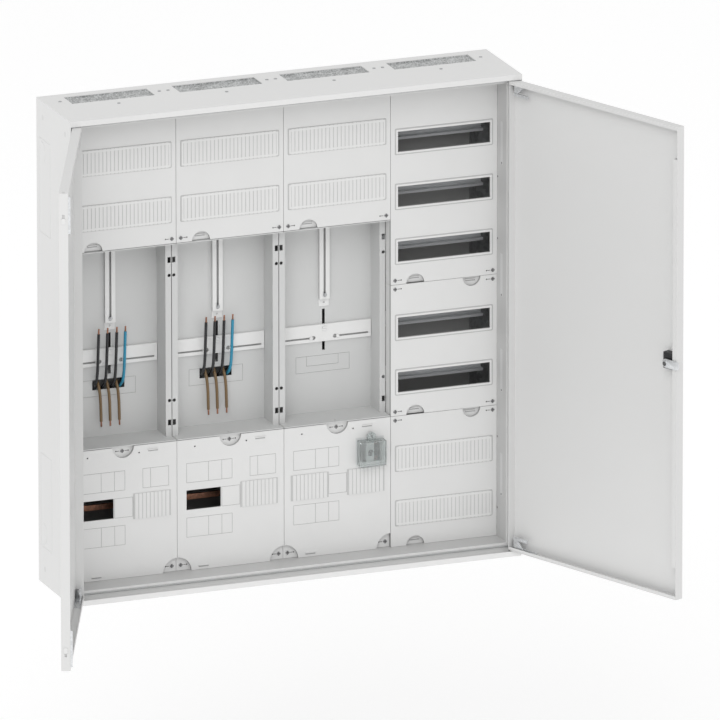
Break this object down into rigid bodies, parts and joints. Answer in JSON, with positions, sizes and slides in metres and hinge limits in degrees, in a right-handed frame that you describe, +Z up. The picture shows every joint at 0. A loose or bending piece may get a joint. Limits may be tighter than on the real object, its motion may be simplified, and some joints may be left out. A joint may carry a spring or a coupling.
{
  "type": "meter and distribution cabinet",
  "caption": "Wall-mounted sheet-steel meter and distribution cabinet with two hinged doors, moulded covers, meter recesses and device rails.",
  "frame": {"origin": "centre of the four wall-fixing holes, on the back face", "axes": "+Z up, +Y into the wall, +X to the right when facing the doors"},
  "size_m": [1.4418, 0.6921, 1.101],
  "materials": {
    "white_steel": "fine powder coat",
    "door_steel": "fine powder coat",
    "rim_steel": "fine powder coat",
    "white_cover": "moulded, fine grain",
    "ribbed_strip": "moulded",
    "bezel": "moulded",
    "box_plastic": "moulded",
    "speckled_flange": "speckled",
    "plug_plastic": "moulded",
    "seal_foam": "foam",
    "galvanised": "galvanised",
    "white_rail": "satin",
    "screw_steel": "zinc plated",
    "copper": "bright copper",
    "dark_plastic": "moulded",
    "fastener_plastic": "moulded",
    "black_pvc": "satin",
    "blue_pvc": "satin",
    "brown_pvc": "satin",
    "clear_hood": "clear",
    "switch_plastic": "moulded",
    "toggle_plastic": "moulded",
    "cam_metal": "cast, matt",
    "knob_white": "moulded"
  },
  "bodies": {
    "cabinet": {"back_panel": "white_steel", "top_panel": "white_steel", "bottom_panel": "white_steel", "left_side_panel": "white_steel", "right_side_panel": "white_steel", "front_frame": "rim_steel", "flange_plates": "speckled_flange", "flange_screws": "screw_steel", "side_plugs": "plug_plastic", "door_seal": "seal_foam", "hinge_brackets": "galvanised", "hinge_pins": "screw_steel", "support_rails": "galvanised", "din_rails": "galvanised", "cover_posts": "box_plastic", "meter_box_1": "box_plastic", "meter_box_2": "box_plastic", "meter_box_3": "box_plastic", "upright_rails": "white_rail", "upper_cover_1": "white_cover", "upper_cover_2": "white_cover", "upper_cover_3": "white_cover", "upper_blanking_strips": "ribbed_strip", "lower_cover_1": "white_cover", "lower_cover_2": "white_cover", "lower_cover_3": "white_cover", "lower_blanking_strips": "ribbed_strip", "distribution_cover_upper": "white_cover", "distribution_cover_middle": "white_cover", "distribution_cover_lower": "white_cover", "device_bezels": "bezel", "distribution_blanking_strips": "ribbed_strip", "cover_fasteners": "fastener_plastic", "busbars": "copper", "busbar_holders": "dark_plastic", "switch_body": "switch_plastic", "flap_frame": "switch_plastic", "lead_clamps": "dark_plastic", "black_leads": "black_pvc", "blue_leads": "blue_pvc", "brown_leads": "brown_pvc", "lead_tips": "copper"},
    "left_door": {"left_door": "door_steel", "left_door_fittings": "galvanised"},
    "upper_bolt": {"upper_bolt": "knob_white"},
    "lower_bolt": {"lower_bolt": "knob_white"},
    "right_door": {"right_door": "door_steel", "right_hinge_plates": "galvanised", "closing_strip": "door_steel", "lock_body": "dark_plastic"},
    "lock_cam": {"lock_cam": "cam_metal"},
    "switch_toggle": {"switch_toggle": "toggle_plastic"},
    "sealing_flap": {"sealing_flap": "clear_hood"},
    "cross_rail_1": {"cross_rail_1": "white_rail"},
    "meter_hook_1": {"meter_hook_1": "screw_steel"},
    "cross_rail_2": {"cross_rail_2": "white_rail"},
    "meter_hook_2": {"meter_hook_2": "screw_steel"},
    "cross_rail_3": {"cross_rail_3": "white_rail"},
    "meter_hook_3": {"meter_hook_3": "screw_steel"}
  },
  "joints": [
    {"name": "left_door_hinge", "type": "hinge", "parent": "cabinet", "child": "left_door", "pos_m": [-0.512, -0.209, 0], "axis": [0, 0, 1], "range_deg": [-4, 113.5]},
    {"name": "right_door_hinge", "type": "hinge", "parent": "cabinet", "child": "right_door", "pos_m": [0.512, -0.209, 0], "axis": [0, 0, -1], "range_deg": [-4, 113.5]},
    {"name": "upper_bolt_slide", "type": "slide", "parent": "left_door", "child": "upper_bolt", "axis": [0, 0, 1], "range_m": [0, 0.012]},
    {"name": "lower_bolt_slide", "type": "slide", "parent": "left_door", "child": "lower_bolt", "axis": [0, 0, -1], "range_m": [0, 0.012]},
    {"name": "lock_cam_turn", "type": "hinge", "parent": "right_door", "child": "lock_cam", "pos_m": [0.7034, -0.64919, -0.002], "axis": [-0.9171, -0.3987, 0], "range_deg": [-90, 0]},
    {"name": "switch_toggle_tilt", "type": "hinge", "parent": "cabinet", "child": "switch_toggle", "pos_m": [0.1995, -0.133, -0.301], "axis": [1, 0, 0], "range_deg": [0, 70]},
    {"name": "sealing_flap_hinge", "type": "hinge", "parent": "cabinet", "child": "sealing_flap", "pos_m": [0.201, -0.1352, -0.324], "axis": [1, 0, 0], "range_deg": [0, 90]},
    {"name": "cross_rail_1_slide", "type": "slide", "parent": "cabinet", "child": "cross_rail_1", "axis": [0, 0, 1], "range_m": [-0.006, 0.035]},
    {"name": "meter_hook_1_slide", "type": "slide", "parent": "cabinet", "child": "meter_hook_1", "axis": [0, 0, 1], "range_m": [-0.002, 0.15]},
    {"name": "cross_rail_2_slide", "type": "slide", "parent": "cabinet", "child": "cross_rail_2", "axis": [0, 0, 1], "range_m": [-0.006, 0.035]},
    {"name": "meter_hook_2_slide", "type": "slide", "parent": "cabinet", "child": "meter_hook_2", "axis": [0, 0, 1], "range_m": [-0.002, 0.15]},
    {"name": "cross_rail_3_slide", "type": "slide", "parent": "cabinet", "child": "cross_rail_3", "axis": [0, 0, 1], "range_m": [-0.006, 0.035]},
    {"name": "meter_hook_3_slide", "type": "slide", "parent": "cabinet", "child": "meter_hook_3", "axis": [0, 0, 1], "range_m": [-0.002, 0.15]}
  ]
}
